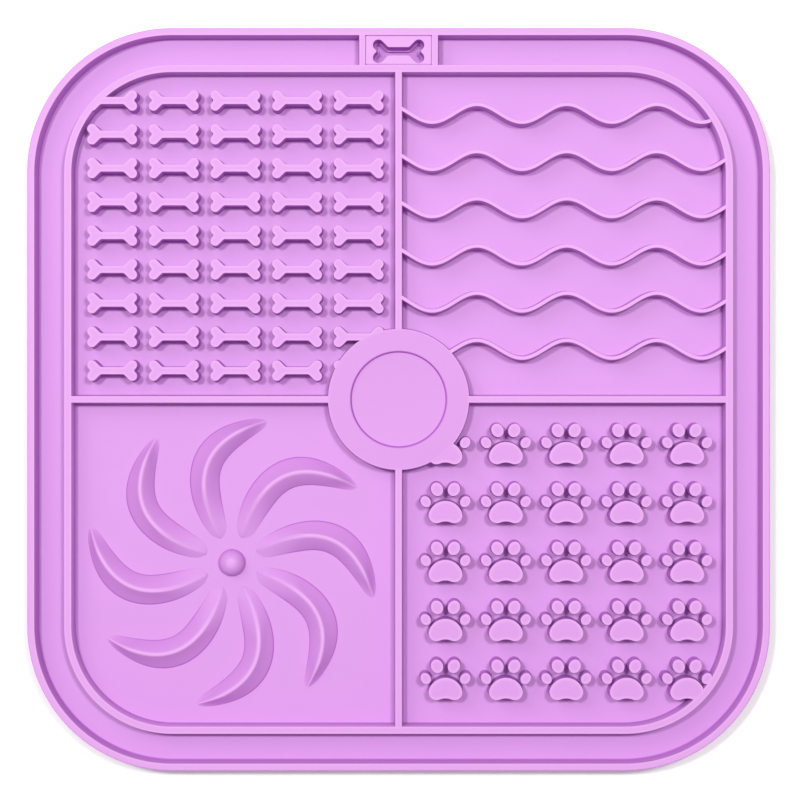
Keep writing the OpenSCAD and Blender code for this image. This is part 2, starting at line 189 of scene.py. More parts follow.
@dataclass(frozen=True)
class Outline:
    """A smooth closed curve seen from above: its points, anticlockwise, and their outward directions."""

    points: Array
    outward: Array

    @staticmethod
    def from_arcs(arcs: list[Arc]) -> "Outline":
        """Joins arcs that meet at tangents, directly or by straight runs.

        Args:
            arcs: The arcs in order, anticlockwise round the outline.

        Returns:
            The outline through their points, in which a point met twice is kept once.
        """
        samples = [arc.sampled() for arc in arcs]
        points = np.vstack([sample[0] for sample in samples])
        outward = np.vstack([sample[1] for sample in samples])
        fresh = np.linalg.norm(points - np.roll(points, 1, axis=0), axis=1) > SAME_PLACE
        return Outline(points[fresh], outward[fresh])

    @staticmethod
    def quarters(
        west: float, east: float, south: float, north: float, radius: float, steps: int
    ) -> "Outline":
        """Joins four quarter circles about the corners of a box by straight runs.

        Args:
            west: Lowest x of the circles' centres.
            east: Highest x of the centres.
            south: Lowest y of the centres.
            north: Highest y of the centres.
            radius: Radius of the circles.
            steps: Steps in each quarter.

        Returns:
            The outline, which reaches one radius beyond the box.
        """
        centres = ((east, north, 0.0), (west, north, 90.0), (west, south, 180.0), (east, south, 270.0))
        return Outline.from_arcs([Arc(x, y, radius, turn, turn + 90.0, steps) for x, y, turn in centres])

    @staticmethod
    def rectangle(
        x: tuple[float, float], y: tuple[float, float], corner: float, steps: int = 16
    ) -> "Outline":
        """A rectangle with round corners, from its lowest and highest x and y."""
        return Outline.quarters(x[0] + corner, x[1] - corner, y[0] + corner, y[1] - corner, corner, steps)

    @staticmethod
    def oval(width: float, length: float, steps: int = 32) -> "Outline":
        """An ellipse, with the outward direction from the gradient of its equation.

        Args:
            width: Size along x.
            length: Size along y.
            steps: Points round it.

        Returns:
            The outline about its middle.
        """
        angle = np.linspace(0.0, 2.0 * np.pi, steps, endpoint=False)
        across, along = np.cos(angle), np.sin(angle)
        outward = np.column_stack((across * length, along * width))
        points = np.column_stack((across * width, along * length)) / 2
        return Outline(points, outward / np.linalg.norm(outward, axis=1, keepdims=True))

    def placed(self, x: float, y: float, turn: float = 0.0) -> "Outline":
        """Turns the outline about its origin and then moves it.

        Args:
            x: Where its origin goes along x.
            y: Where its origin goes along y.
            turn: Turn in degrees, anticlockwise.

        Returns:
            The outline in its new place.
        """
        angle = np.radians(turn)
        matrix = np.array([[np.cos(angle), np.sin(angle)], [-np.sin(angle), np.cos(angle)]])
        return Outline(self.points @ matrix + np.array([x, y]), self.outward @ matrix)

    def raised(self, profile: Array, z: float) -> Array:
        """Stacks copies of the outline, each grown and lifted by one row of a profile.

        Args:
            profile: Rows of (distance out of the outline, height).
            z: Level from which the heights count.

        Returns:
            Loops of points, as (rows, places, 3).
        """
        flat = self.points[None] + profile[:, 0, None, None] * self.outward[None]
        up = np.broadcast_to((z + profile[:, 1])[:, None, None], flat.shape[:2] + (1,))
        return np.concatenate((flat, up), axis=2)


@dataclass(frozen=True)
class EdgeForm:
    """Side of a moulded form: a fillet at its foot, a sloping face and a round brow at its top.

    Foot and brow are radii, draft is how far the face leans out at its foot, and sunk is how deep the form
    stands in the sheet. Hold and crown are the widths of two flat steps at the edge of the top. The tones,
    from -1 for the deepest to 1 for the palest, paint light and shade: as a rule painted shade at the foot,
    a painted highlight along the brow and a little less of it on the flat top.
    """

    foot: float = 0.12 * MM
    draft: float = 0.27 * MM
    brow: float = 0.16 * MM
    hold: float = 0.03 * MM
    crown: float = 0.45 * MM
    sunk: float = 0.4 * MM
    steps: int = 6
    # Painted shade at the foot and up the face, painted highlight on the brow and the top
    foot_tone: float = -0.8
    face_tone: float = 0.4
    brow_tone: float = 1.0
    top_tone: float = 0.6

    def side(self, height: float) -> Array:
        """Profile from under the sheet's face up to the flat top.

        With f the foot's radius, r the brow's and face(z) = draft * (1 - z / height), the foot follows
        (face + f (1 - sin a), f (1 - cos a)) and the brow (face - r (1 - cos a), height - r (1 - sin a)),
        for a from 0 to a right angle. Two last steps inwards hold the flat top's shading flat and carry
        the tone from the brow's to the top's.

        Args:
            height: Height of the flat top above the sheet's face.

        Returns:
            Rows of (distance out of the outline, height).
        """
        turn = np.linspace(0.0, np.pi / 2, self.steps + 1)
        z_foot = self.foot * (1.0 - np.cos(turn))
        z_brow = height - self.brow * (1.0 - np.sin(turn))
        foot = np.column_stack((self.draft * (1 - z_foot / height) + self.foot * (1 - np.sin(turn)), z_foot))
        brow = np.column_stack((self.draft * (1 - z_brow / height) - self.brow * (1 - np.cos(turn)), z_brow))
        start = np.array([[foot[0, 0], -self.sunk]])
        held = brow[-1, 0] - self.hold
        end = np.array([[held, height], [held - self.crown, height]])
        return np.vstack((start, foot, brow, end))

    @property
    def inset(self) -> float:
        """How far inside the outline the last row lies, and the least radius of a corner that it rounds."""
        return self.brow + self.hold + self.crown

    def tones(self) -> Array:
        """Blends the tones up the side.

        Returns:
            The tone of each row.
        """
        foot = np.full(self.steps + 2, self.foot_tone)
        brow = np.linspace(self.face_tone, self.brow_tone, self.steps + 1)
        return np.concatenate((foot, brow, [self.brow_tone, self.top_tone]))

    def tones_both_ways(self) -> Array:
        """Tones of the side and then of its mirror image, from the top down."""
        return np.concatenate((self.tones(), self.tones()[::-1]))


@dataclass(frozen=True)
class MatPlan:
    """Levels and places that all the sub-assemblies share.

    Half is half the mat's width. The levels are the sheet's upper face (floor), the walls' top and the
    sheet's under side.
    """

    half: float
    floor_z: float
    top_z: float
    sheet_z: float
    disc_r: float
    corner_r: float = 39.0 * MM
    wall_t: float = 2.0 * MM
    channel_w: float = 7.95 * MM
    divider_t: float = 1.8 * MM
    recess_r: float = 12.95 * MM
    draft: float = 0.27 * MM

    @classmethod
    def from_frame(cls) -> "MatPlan":
        """Reads the mat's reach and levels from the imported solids.

        Returns:
            The plan.
        """
        rim_low, rim_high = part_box("outer_rim")
        sheet_low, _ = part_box("base_sheet")
        _, disc_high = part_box("centre_disc")
        return cls(half=rim_high.x, floor_z=rim_low.z, top_z=rim_high.z, sheet_z=sheet_low.z,
                   disc_r=disc_high.x - cls.draft)

    @property
    def wall_h(self) -> float:
        """Height of the walls above the sheet."""
        return self.top_z - self.floor_z

    @property
    def arc_c(self) -> float:
        """Distance from the mat's middle lines to the point that the corners turn about."""
        return self.half - self.corner_r

    @property
    def inner_out(self) -> float:
        """Place of the inner wall's outer face."""
        return self.half - self.wall_t - self.channel_w

    @property
    def inner_in(self) -> float:
        """Place of the inner wall's inner face."""
        return self.inner_out - self.wall_t

    @property
    def cross_half(self) -> float:
        """Half the thickness of a divider."""
        return self.divider_t / 2

    @property
    def cell_mid(self) -> float:
        """Place of a cell's middle, from the cross."""
        return (self.cross_half + self.inner_in) / 2

    def round_square(self, reach: float, steps: int = 40) -> Outline:
        """Rounded square that reaches this far from the middle, about the shared corner points."""
        c = self.arc_c
        return Outline.quarters(-c, c, -c, c, reach - c, steps)

    def kept_in(self, loops: Array) -> Array:
        """Draws points back between the disc's recess and the middle of the inner wall.

        Outside, a point's excess over the corner point, q = max(|p| - c, 0), is shortened to the middle
        line's radius. Inside, a point is moved straight out to a circle between the recess and the rim
        of the disc.

        Args:
            loops: Points of a form, with x, y and z last.

        Returns:
            The points. What was drawn back is hidden inside the wall or the disc.
        """
        flat = loops[..., :2]
        limit = self.inner_in + self.wall_t / 2 - self.arc_c
        excess = np.maximum(np.abs(flat) - self.arc_c, 0.0)
        length = np.linalg.norm(excess, axis=-1, keepdims=True)
        excess *= np.minimum(1.0, limit / np.maximum(length, limit))
        flat = np.sign(flat) * (np.minimum(np.abs(flat), self.arc_c) + excess)
        ring = (self.recess_r + self.disc_r) / 2
        reach = np.linalg.norm(flat, axis=-1, keepdims=True)
        flat = flat * np.maximum(1.0, ring / np.maximum(reach, MM))
        return np.concatenate((flat, loops[..., 2:]), axis=-1)

    def swallowed(self, loops: Array) -> bool:
        """Whether the form lies wholly inside the disc."""
        return bool(np.linalg.norm(loops[..., :2], axis=-1).max() < self.disc_r)


@dataclass(frozen=True)
class SiliconeFinish:
    """Satin pet-safe silicone: painted highlights and painted shade, a faint milky depth and a fine moulded
    grain.

    Cloud is the slow tint and grain the fine bump, each with its scale per metre. The milk fields say how
    much light spreads under the surface, how far in red, green and blue, and at what depth.
    """

    body: tuple[float, float, float] = (0.63, 0.322, 0.686)
    # The colour of painted shade, and that of painted highlights on edges and tops
    deep: tuple[float, float, float] = (0.472, 0.152, 0.556)
    pale: tuple[float, float, float] = (0.717, 0.407, 0.737)
    cloud: tuple[float, float, float] = (0.97, 0.95, 0.98)
    cloud_per_m: float = 38.0
    cloud_detail: float = 3.0
    roughness: float = 0.45
    roughness_spread: float = 0.05
    grain_per_m: float = 2600.0
    grain_detail: float = 2.0
    grain_strength: float = 0.06
    grain_depth: float = 0.05 * MM
    gloss: float = 0.2
    milk_share: float = 0.08
    milk_reach: tuple[float, float, float] = (1.0, 0.55, 1.0)
    milk_depth: float = 1.2 * MM

    def material(self) -> bpy.types.Material:
        """Builds the node material on Object coordinates and on the tone of each point.

        The tone leads from the deep colour of painted shade over the body's to the pale one of painted
        highlights. A slow noise tints it, and a fine noise drives a shallow bump and a little of the
        roughness.

        Returns:
            The material.
        """
        made = bpy.data.materials.new("satin_silicone")
        made.use_nodes = True
        nodes, links = made.node_tree.nodes, made.node_tree.links
        shader = nodes["Principled BSDF"]
        place = nodes.new("ShaderNodeTexCoord").outputs["Object"]

        # Each point's painted light and shade
        tone = nodes.new("ShaderNodeAttribute")
        tone.attribute_name = PAINTED_LIGHT
        share = nodes.new("ShaderNodeMapRange")
        share.inputs["From Min"].default_value = -1.0
        links.new(tone.outputs["Fac"], share.inputs["Value"])
        ramp = nodes.new("ShaderNodeValToRGB")
        stops = ramp.color_ramp.elements
        stops[0].color = (*self.deep, 1.0)
        stops[1].color = (*self.pale, 1.0)
        stops.new(0.5).color = (*self.body, 1.0)
        links.new(share.outputs["Result"], ramp.inputs["Fac"])

        cloud = nodes.new("ShaderNodeTexNoise")
        cloud.inputs["Scale"].default_value = self.cloud_per_m
        cloud.inputs["Detail"].default_value = self.cloud_detail
        links.new(place, cloud.inputs["Vector"])
        tint = nodes.new("ShaderNodeMix")
        tint.data_type = "RGBA"
        tint.blend_type = "MULTIPLY"
        tint.inputs[MIX_B].default_value = (*self.cloud, 1.0)
        links.new(cloud.outputs["Fac"], tint.inputs["Factor"])
        links.new(ramp.outputs["Color"], tint.inputs[MIX_A])
        links.new(tint.outputs[MIX_RESULT], shader.inputs["Base Color"])

        grain = nodes.new("ShaderNodeTexNoise")
        grain.inputs["Scale"].default_value = self.grain_per_m
        grain.inputs["Detail"].default_value = self.grain_detail
        links.new(place, grain.inputs["Vector"])
        sheen = nodes.new("ShaderNodeMapRange")
        sheen.inputs["To Min"].default_value = self.roughness - self.roughness_spread
        sheen.inputs["To Max"].default_value = self.roughness + self.roughness_spread
        links.new(grain.outputs["Fac"], sheen.inputs["Value"])
        links.new(sheen.outputs["Result"], shader.inputs["Roughness"])
        bump = nodes.new("ShaderNodeBump")
        bump.inputs["Strength"].default_value = self.grain_strength
        bump.inputs["Distance"].default_value = self.grain_depth
        links.new(grain.outputs["Fac"], bump.inputs["Height"])
        links.new(bump.outputs["Normal"], shader.inputs["Normal"])

        shader.inputs["Specular IOR Level"].default_value = self.gloss
        shader.inputs["Subsurface Weight"].default_value = self.milk_share
        shader.inputs["Subsurface Radius"].default_value = self.milk_reach
        shader.inputs["Subsurface Scale"].default_value = self.milk_depth
        return made


@dataclass
class Workshop:
    """Turns surfaces into pieces that ride on the mat and stand for its solids."""

    finish: bpy.types.Material
    sharp_angle: float = np.radians(50.0)

    def add(self, node: str, parts: list[Surface]) -> None:
        """Makes one piece of closed surfaces that takes the place of a solid."""
        self.finish_piece(node, self.mesh(node, Surface.joined(parts)))

    @staticmethod
    def mesh(node: str, whole: Surface) -> bpy.types.Mesh:
        """Puts a surface into a mesh.

        Args:
            node: The solid that the mesh stands for and is named after.
            whole: The surface.

        Returns:
            The mesh, with each point's tone as an attribute.
        """
        mesh = bpy.data.meshes.new("moulded_" + node)
        faces = whole.quads.tolist() + [cap.tolist() for cap in whole.caps]
        mesh.from_pydata(whole.points.tolist(), [], faces)
        mesh.attributes.new(PAINTED_LIGHT, "FLOAT", "POINT").data.foreach_set("value", whole.tones)
        return mesh

    def finish_piece(self, node: str, mesh: bpy.types.Mesh) -> None:
        """Args:
            node: The solid that the piece stands for.
            mesh: The piece's mesh.
        """
        mesh.validate()
        mesh.shade_smooth()
        mesh.set_sharp_from_angle(angle=self.sharp_angle)
        mesh.materials.append(self.finish)
        piece = bpy.data.objects.new(mesh.name, mesh)
        bpy.context.scene.collection.objects.link(piece)
        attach(piece, BODY)
        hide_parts(node)
        LOG.info("%s: %d faces", piece.name, len(mesh.polygons))


@dataclass
class Moulding:
    """What every sub-assembly is given: the mat's plan and the workshop that makes its pieces."""

    plan: MatPlan
    shop: Workshop


@dataclass
class Walls(Moulding):
    """The base sheet, the rim, the inner wall and the cross of dividers."""

    # Tones of painted shade at the walls' feet and painted highlights along their brows and tops
    edge: EdgeForm = EdgeForm(top_tone=0.45)
    rim_edge: EdgeForm = EdgeForm(foot=0.3 * MM, foot_tone=-0.7, face_tone=-0.1)
    # Radii of the rim's outer brow and of the edge under it
    outer_brow: float = 0.4 * MM
    under_r: float = 0.5 * MM
    # How far the rim's hidden inside reaches into the sheet
    lap: float = 0.6 * MM

    def build(self) -> None:
        """Builds every piece of the sub-assembly."""
        self.base_sheet()
        self.outer_rim()
        self.inner_wall()
        for way in Way:
            self.divider(way)

    def base_sheet(self) -> None:
        """Flat sheet that ends just inside the rim, whose outer face runs down past its edge."""
        outline = self.plan.round_square(self.plan.half - self.under_r)
        profile = np.array([[0.0, self.plan.sheet_z], [0.0, self.plan.floor_z]])
        self.shop.add("base_sheet", [Surface.from_loops(outline.raised(profile, 0.0))])

    def outer_rim(self) -> None:
        """Rim and the sheet's edge in one section: round under its edge, upright outside, sloping inside."""
        plan = self.plan
        edge = self.rim_edge
        side = edge.side(plan.wall_h)[1:]
        inner = np.column_stack((-plan.wall_t - side[:, 0], plan.floor_z + side[:, 1]))[::-1]
        turn = np.linspace(0.0, np.pi / 2, edge.steps + 1)
        under_r, brow_r = self.under_r, self.outer_brow
        under = np.column_stack((-under_r * (1 - np.sin(turn)), plan.sheet_z + under_r * (1 - np.cos(turn))))
        brow = np.column_stack((-brow_r * (1 - np.cos(turn)), plan.top_z - brow_r * (1 - np.sin(turn))))
        held = np.array([[-brow_r - edge.hold, plan.top_z]])
        hidden = np.array([
            [inner[-1, 0], plan.floor_z - edge.sunk],
            [-under_r - self.lap, plan.sheet_z + self.lap],
        ])
        section = np.vstack((under, brow, held, inner, hidden))
        # Painted highlight over the rim's outer brow, growing to the top's; the round under the edge stays
        # plain
        outside = np.linspace(0.0, edge.top_tone, len(brow))
        plain = np.zeros(len(under))
        tones = np.concatenate((plain, outside, [edge.top_tone], edge.tones()[:0:-1], [0.0, 0.0]))
        self.shop.add("outer_rim", [self.ring(plan.half, section, tones)])

    def inner_wall(self) -> None:
        """Wall between the channel and the cells, with the same side turned both ways."""
        side = self.edge.side(self.plan.wall_h)
        inner = np.column_stack((-self.plan.wall_t - side[:, 0], side[:, 1]))[::-1]
        section = np.vstack((side, inner)) + np.array([0.0, self.plan.floor_z])
        self.shop.add("inner_wall", [self.ring(self.plan.inner_out, section, self.edge.tones_both_ways())])

    def ring(self, reach: float, section: Array, tones: Array) -> Surface:
        """Carries a closed section, with its tones, round the rounded square that reaches this far."""
        loops = self.plan.round_square(reach).raised(section, 0.0)
        return Surface.from_loops(loops, tones[:, None], endless=True)

    def divider(self, way: Way) -> None:
        """Builds an arm of the cross: a straight bar whose ends are hidden in the disc and the inner wall.

        Args:
            way: Where the arm points.
        """
        plan = self.plan
        start = (plan.recess_r + plan.disc_r) / 2
        end = plan.inner_in + plan.wall_t / 2
        bar = Outline.rectangle((-plan.cross_half, plan.cross_half), (start, end), self.edge.inset)
        side = self.edge.side(plan.wall_h - Hide.DIVIDER.value)
        loops = bar.placed(0.0, 0.0, way.value).raised(side, plan.floor_z)
        self.shop.add("divider_" + way.name.lower(), [Surface.from_loops(loops, self.edge.tones()[:, None])])


def revolved(profile: Array, x: float, y: float, steps: int, tones: Array | None = None) -> Surface:
    """Turns a profile of (radius, z) about an upright axis.

    Args:
        profile: Rows of (radius, z), which start and end near the axis.
        x: Place of the axis along x.
        y: Place of the axis along y.
        steps: Steps round the axis.
        tones: Tone of each row, or none where all are plain.

    Returns:
        The closed surface.
    """
    angle = np.linspace(0.0, 2.0 * np.pi, steps, endpoint=False)
    ring = np.stack((np.cos(angle), np.sin(angle), np.zeros_like(angle)), axis=1)
    loops = profile[:, 0, None, None] * ring[None] + np.array([x, y, 0.0])
    loops[..., 2] = profile[:, 1, None]
    return Surface.from_loops(loops, 0.0 if tones is None else tones[:, None])


@dataclass
class CentreDisc(Moulding):
    """Round disc at the crossing, with a shallow recess in its top."""

    # Painted highlight on the disc's brow, painted shade at its foot
    edge: EdgeForm = EdgeForm(brow_tone=0.4, top_tone=0.0)
    # Depth of the recess, and its edge, whose profile is turned inwards and whose tones paint a dark line of
    # shade round the recess
    recess: float = 0.8 * MM
    recess_edge: EdgeForm = EdgeForm(foot=0.08 * MM, draft=0.3 * MM, brow=0.08 * MM, crown=0.2 * MM, sunk=0.0,
                                     foot_tone=-1.0, face_tone=-1.0, brow_tone=-0.8, top_tone=0.0)
    # Radius of the small flat faces that close the top and the foot at the axis
    pole: float = 0.2 * MM
    steps: int = 160

    def build(self) -> None:
        """Turns one profile: the foot, the side, the flat ring, the recess's edge and its floor."""
        plan = self.plan
        side = self.edge.side(plan.wall_h)
        outer = np.column_stack((plan.disc_r + side[:, 0], plan.floor_z + side[:, 1]))
        step = self.recess_edge.side(self.recess)[1:][::-1]
        inner = np.column_stack((plan.recess_r - step[:, 0], plan.top_z - self.recess + step[:, 1]))
        start = np.array([[self.pole, outer[0, 1]]])
        end = np.array([[self.pole, inner[-1, 1]]])
        tones = np.concatenate(([0.0], self.edge.tones(), self.recess_edge.tones()[:1:-1], [0.0, 0.0]))
        profile = np.vstack((start, outer, inner, end))
        self.shop.add("centre_disc", [revolved(profile, 0.0, 0.0, self.steps, tones)])


@dataclass(frozen=True)
class BoneForm:
    """Outline of a bone: a shaft, four lobes and arms at 45 degrees, with round inner corners."""

    length: float
    height: float
    shaft_w: float
    lobe_r: float
    crook_r: float
    notch_r: float
    lobe_steps: int = 16
    crook_steps: int = 6

    def outline(self) -> Outline:
        """Joins the arcs of one quarter and its mirror images.

        The crook between shaft and arm touches both from outside, and so does the notch between two
        arms: the distance of each from the hub follows from its radius and the arms' half width.

        Returns:
            The outline about the bone's middle.
        """
        lobe_x = self.length / 2 - self.lobe_r
        lobe_y = self.height / 2 - self.lobe_r
        hub = lobe_x - lobe_y
        half = self.shaft_w / 2
        root = np.sqrt(2.0)
        crook_x = hub + half + self.crook_r - (self.crook_r + self.lobe_r) * root
        crook_y = half + self.crook_r
        notch_x = hub + (self.notch_r + self.lobe_r) * root
        wide, tight = self.lobe_steps, self.crook_steps
        arcs = []
        for s, turn in ((1.0, 0.0), (-1.0, 180.0)):
            arcs += [
                Arc(s * crook_x, -s * crook_y, self.crook_r, turn + 90.0, turn + 45.0, tight, hollow=True),
                Arc(s * lobe_x, -s * lobe_y, self.lobe_r, turn - 135.0, turn + 45.0, wide),
                Arc(s * notch_x, 0.0, self.notch_r, turn + 225.0, turn + 135.0, tight, hollow=True),
                Arc(s * lobe_x, s * lobe_y, self.lobe_r, turn - 45.0, turn + 135.0, wide),
                Arc(s * crook_x, s * crook_y, self.crook_r, turn - 45.0, turn - 90.0, tight, hollow=True),
            ]
        return Outline.from_arcs(arcs)


@dataclass
class BoneField(Moulding):
    """Nine rows of five raised bones."""

    form: BoneForm = BoneForm(length=13.5 * MM, height=5.6 * MM, shaft_w=2.0 * MM, lobe_r=1.32 * MM,
                              crook_r=0.8 * MM, notch_r=0.45 * MM)
    # Painted shade at the bones' feet and sides, and a painted highlight on their brows and tops
    edge: EdgeForm = EdgeForm(draft=0.12 * MM, brow=0.14 * MM, crown=0.7 * MM, foot_tone=-1.0,
                              face_tone=-0.7, top_tone=0.3)
    rows: int = 9
    columns: int = 5
    # Gaps from the outer bones to the wall and the divider beside them, the wall above and the divider below
    side_gap: float = 4.2 * MM
    cross_gap: float = 3.1 * MM
    top_gap: float = 4.8 * MM
    foot_gap: float = 4.05 * MM

    def build(self) -> None:
        """Builds one piece for each row, from the wall down to the divider."""
        plan, form = self.plan, self.form
        outer = plan.inner_in - form.length / 2 - self.side_gap
        inner = plan.cross_half + self.cross_gap + form.length / 2
        top = plan.inner_in - self.top_gap - form.height / 2
        foot = plan.cross_half + self.foot_gap + form.height / 2
        profile = self.edge.side(plan.wall_h - Hide.RELIEF.value)
        tones = self.edge.tones()[:, None]
        outline = form.outline()
        places = np.linspace(-outer, -inner, self.columns)
        for row, y in enumerate(np.linspace(top, foot, self.rows), start=1):
            bones = [plan.kept_in(outline.placed(x, y).raised(profile, plan.floor_z)) for x in places]
            self.shop.add(f"bone_row_{row}", [Surface.from_loops(bone, tones) for bone in bones])


@dataclass
class WaveField(Moulding):
    """Six wave-shaped ribs of even thickness."""

    # Painted shade at the ribs' feet and faces, and a painted highlight on their brows and tops
    edge: EdgeForm = EdgeForm(draft=0.22 * MM, brow=0.14 * MM, foot=0.16 * MM, crown=0.2 * MM,
                              foot_tone=-0.5, face_tone=-0.6, top_tone=0.9)
    thickness: float = 1.0 * MM
    rise: float = 2.4 * MM
    length: float = 24.2 * MM
    # Distance from the divider to a crest
    lead: float = 20.2 * MM
    ribs: int = 6
    # Gaps from the first middle line to the inner wall and from the last one to the divider
    top_gap: float = 11.05 * MM
    foot_gap: float = 12.6 * MM
    steps: int = 260

    def build(self) -> None:
        """Carries the rib's section along each wave.

        The middle line is y = rise * cos(2 pi (x - lead) / length), with x counted from the divider, and
        the section stands square to it.
        """
        plan = self.plan
        side = self.edge.side(plan.wall_h - Hide.RIB.value)
        half = self.thickness / 2
        section = np.vstack((side + [half, 0.0], (side * [-1.0, 1.0] - [half, 0.0])[::-1]))
        tones = self.edge.tones_both_ways()
        k = 2.0 * np.pi / self.length
        mid_lines = np.linspace(plan.inner_in - self.top_gap, plan.cross_half + self.foot_gap, self.ribs)
        for rib, mid in enumerate(mid_lines, start=1):
            start, end = self.reach(mid)
            x = np.linspace(start, end, self.steps)
            phase = k * (x - plan.cross_half - self.lead)
            slant = -self.rise * k * np.sin(phase)
            across = np.column_stack((-slant, np.ones_like(x))) / np.sqrt(1.0 + slant**2)[:, None]
            middle = np.column_stack((x, mid + self.rise * np.cos(phase)))
            loops = np.empty((self.steps, len(section), 3))
            loops[..., :2] = middle[:, None] + section[None, :, 0, None] * across[:, None]
            loops[..., 2] = plan.floor_z + section[None, :, 1]
            self.shop.add(f"wave_rib_{rib}", [Surface.from_loops(loops, tones)])

    def reach(self, mid: float) -> tuple[float, float]:
        """Finds a rib's ends, hidden in the divider or the disc and in the middle of the inner wall.

        Args:
            mid: Place of the rib's middle line along y.

        Returns:
            The lowest and the highest x.
        """
        plan = self.plan
        ring = (plan.recess_r + plan.disc_r) / 2
        start = np.sqrt(ring**2 - mid**2) if mid < ring else 0.0
        radius = plan.inner_in + plan.wall_t / 2 - plan.arc_c
        over = max(0.0, mid - plan.arc_c)
        return float(start), float(plan.arc_c + np.sqrt(radius**2 - over**2))


@dataclass
class Vortex(Moulding):
    """Eight curved vanes with a narrow, soft crest round a knob."""

    # Gap between the vortex's circle and the cell's walls, and the middle's place off the cell's
    gap: float = 3.6 * MM
    shift: tuple[float, float] = (-0.75 * MM, 0.2 * MM)
    height: float = 3.1 * MM
    vanes: int = 8
    # Knob: radius, height, power of its side, angle left out at its top, and tones at angles up its side,
    # which paint shade low on the side and a glint at the top
    knob_r: float = 3.65 * MM
    knob_h: float = 3.4 * MM
    knob_power: float = 2.25
    knob_pole: float = 0.02
    knob_rows: int = 32
    knob_steps: int = 72
    knob_angles: tuple[float, ...] = (0.0, 0.35, 1.15, 1.4)
    knob_tones: tuple[float, ...] = (-1.0, -0.3, -0.1, 0.5)
    # Control points of a vane's crest and edges, as shares of the circle's radius
    crest: tuple[tuple[float, float], ...] = ((0.06, 0.17), (0.25, 0.80), (0.66, 0.62), (0.85, 0.51))
    back: tuple[tuple[float, float], ...] = ((0.03, 0.18), (0.02, 0.53), (0.38, 0.98), (0.86, 0.53))
    front: tuple[tuple[float, float], ...] = ((0.11, 0.14), (0.37, 0.51), (0.33, 0.59), (0.84, 0.48))
    # Shares of a vane's length over which its root rises, its root closes round, its top falls and its
    # tip closes round, and the share of its height at which the root starts
    root: float = 0.25
    root_end: float = 0.06
    fade: float = 0.22
    tip: float = 0.045
    root_low: float = 0.5
    # Section: how round the crest is, the power that it follows and where the painted dark line of shade
    # at the edge begins
    crest_round: float = 0.15
    crest_power: float = 3.0
    edge_line: float = 0.955
    # Tones at shares of the way across a flank, the edge's tone, and their strengths at places along a vane:
    # a painted highlight along the crest and painted shade along the edge
    flank_shares: tuple[float, ...] = (0.0, 0.06, 0.17, 0.91)
    flank_tones: tuple[float, ...] = (1.0, 1.0, -0.2, -0.25)
    deep_tone: float = -1.0
    tone_places: tuple[float, ...] = (0.0, 0.04, 0.25, 0.95, 1.0)
    tone_strengths: tuple[float, ...] = (0.0, 0.1, 1.0, 1.0, 0.6)
    # Numbers of sections along a vane and of points across a flank, how strongly they crowd to the ends and
    # to the crest, and the least share of its width that an end keeps
    along: int = 96
    along_pack: float = 0.6
    across: int = 20
    across_pack: float = 1.7
    least_close: float = 0.02
    # Depths of the hidden foot and of the edge below the sheet's face
    sunk: float = 0.4 * MM
    bedded: float = 0.02 * MM

    @property
    def centre(self) -> tuple[float, float]:
        """Place of the knob."""
        return self.shift[0] - self.plan.cell_mid, self.shift[1] - self.plan.cell_mid

    def build(self) -> None:
        """Builds the knob and turns one vane into eight."""
        x, y = self.centre
        self.knob(x, y)
        vane, tones = self.vane(), self.vane_tones()
        for number in range(self.vanes):
            angle = 2.0 * np.pi * number / self.vanes
            turn = np.array([[np.cos(angle), np.sin(angle)], [-np.sin(angle), np.cos(angle)]])
            loops = vane.copy()
            loops[..., :2] = loops[..., :2] @ turn + np.array([x, y])
            self.shop.add(f"vortex_vane_{number + 1}", [Surface.from_loops(loops, tones)])

    def knob(self, x: float, y: float) -> None:
        """Builds a dome: (r / radius)^n + (z / height)^n = 1, with n a little over a ball's 2.

        Args:
            x: Place of its axis along x.
            y: Place of its axis along y.
        """
        base = self.plan.floor_z
        angle = np.linspace(0.0, np.pi / 2 - self.knob_pole, self.knob_rows)
        power = 2.0 / self.knob_power
        side = self.knob_r * np.cos(angle) ** power
        rise = self.knob_h * np.sin(angle) ** power
        start = np.array([[side[-1], base - self.sunk], [self.knob_r, base - self.sunk]])
        profile = np.vstack((start, np.column_stack((side, base + rise))))
        tones = np.interp(angle, self.knob_angles, self.knob_tones)
        tones = np.concatenate(([self.deep_tone] * len(start), tones))
        self.shop.add("vortex_knob", [revolved(profile, x, y, self.knob_steps, tones)])

    @staticmethod
    def curve(points: tuple[tuple[float, float], ...], t: Array) -> Array:
        """Cubic curve: the four points weighted by (1-t)^3, 3t(1-t)^2, 3t^2(1-t) and t^3.

        Args:
            points: The four control points.
            t: Shares of the way along.

        Returns:
            A point of the curve for each share.
        """
        u = 1.0 - t
        weights = np.column_stack((u**3, 3.0 * t * u**2, 3.0 * t**2 * u, t**3))
        return weights @ np.array(points)

    def section(self) -> tuple[Array, Array]:
        """Works out half of a vane's section, from crest to foot.

        The drop from the crest is the p-th root of way^p + round^p: straight flanks that meet in a narrow,
        nearly flat crest. The points lie closer together near the crest, with one more where the deep
        line along the edge begins.

        Returns:
            Shares of the way across and of the height.
        """
        way = np.append(np.linspace(0.0, 1.0, self.across)[:-1] ** self.across_pack, (self.edge_line, 1.0))
        power = self.crest_power
        curve = (way**power + self.crest_round**power) ** (1.0 / power)
        return way, (curve[-1] - curve) / (curve[-1] - curve[0])

    def shares(self) -> Array:
        """Shares of a vane's length at which its sections stand, closer together near both ends."""
        share = np.linspace(0.0, np.pi, self.along)
        return self.along_pack * (1.0 - np.cos(share)) / 2.0 + (1.0 - self.along_pack) * share / np.pi

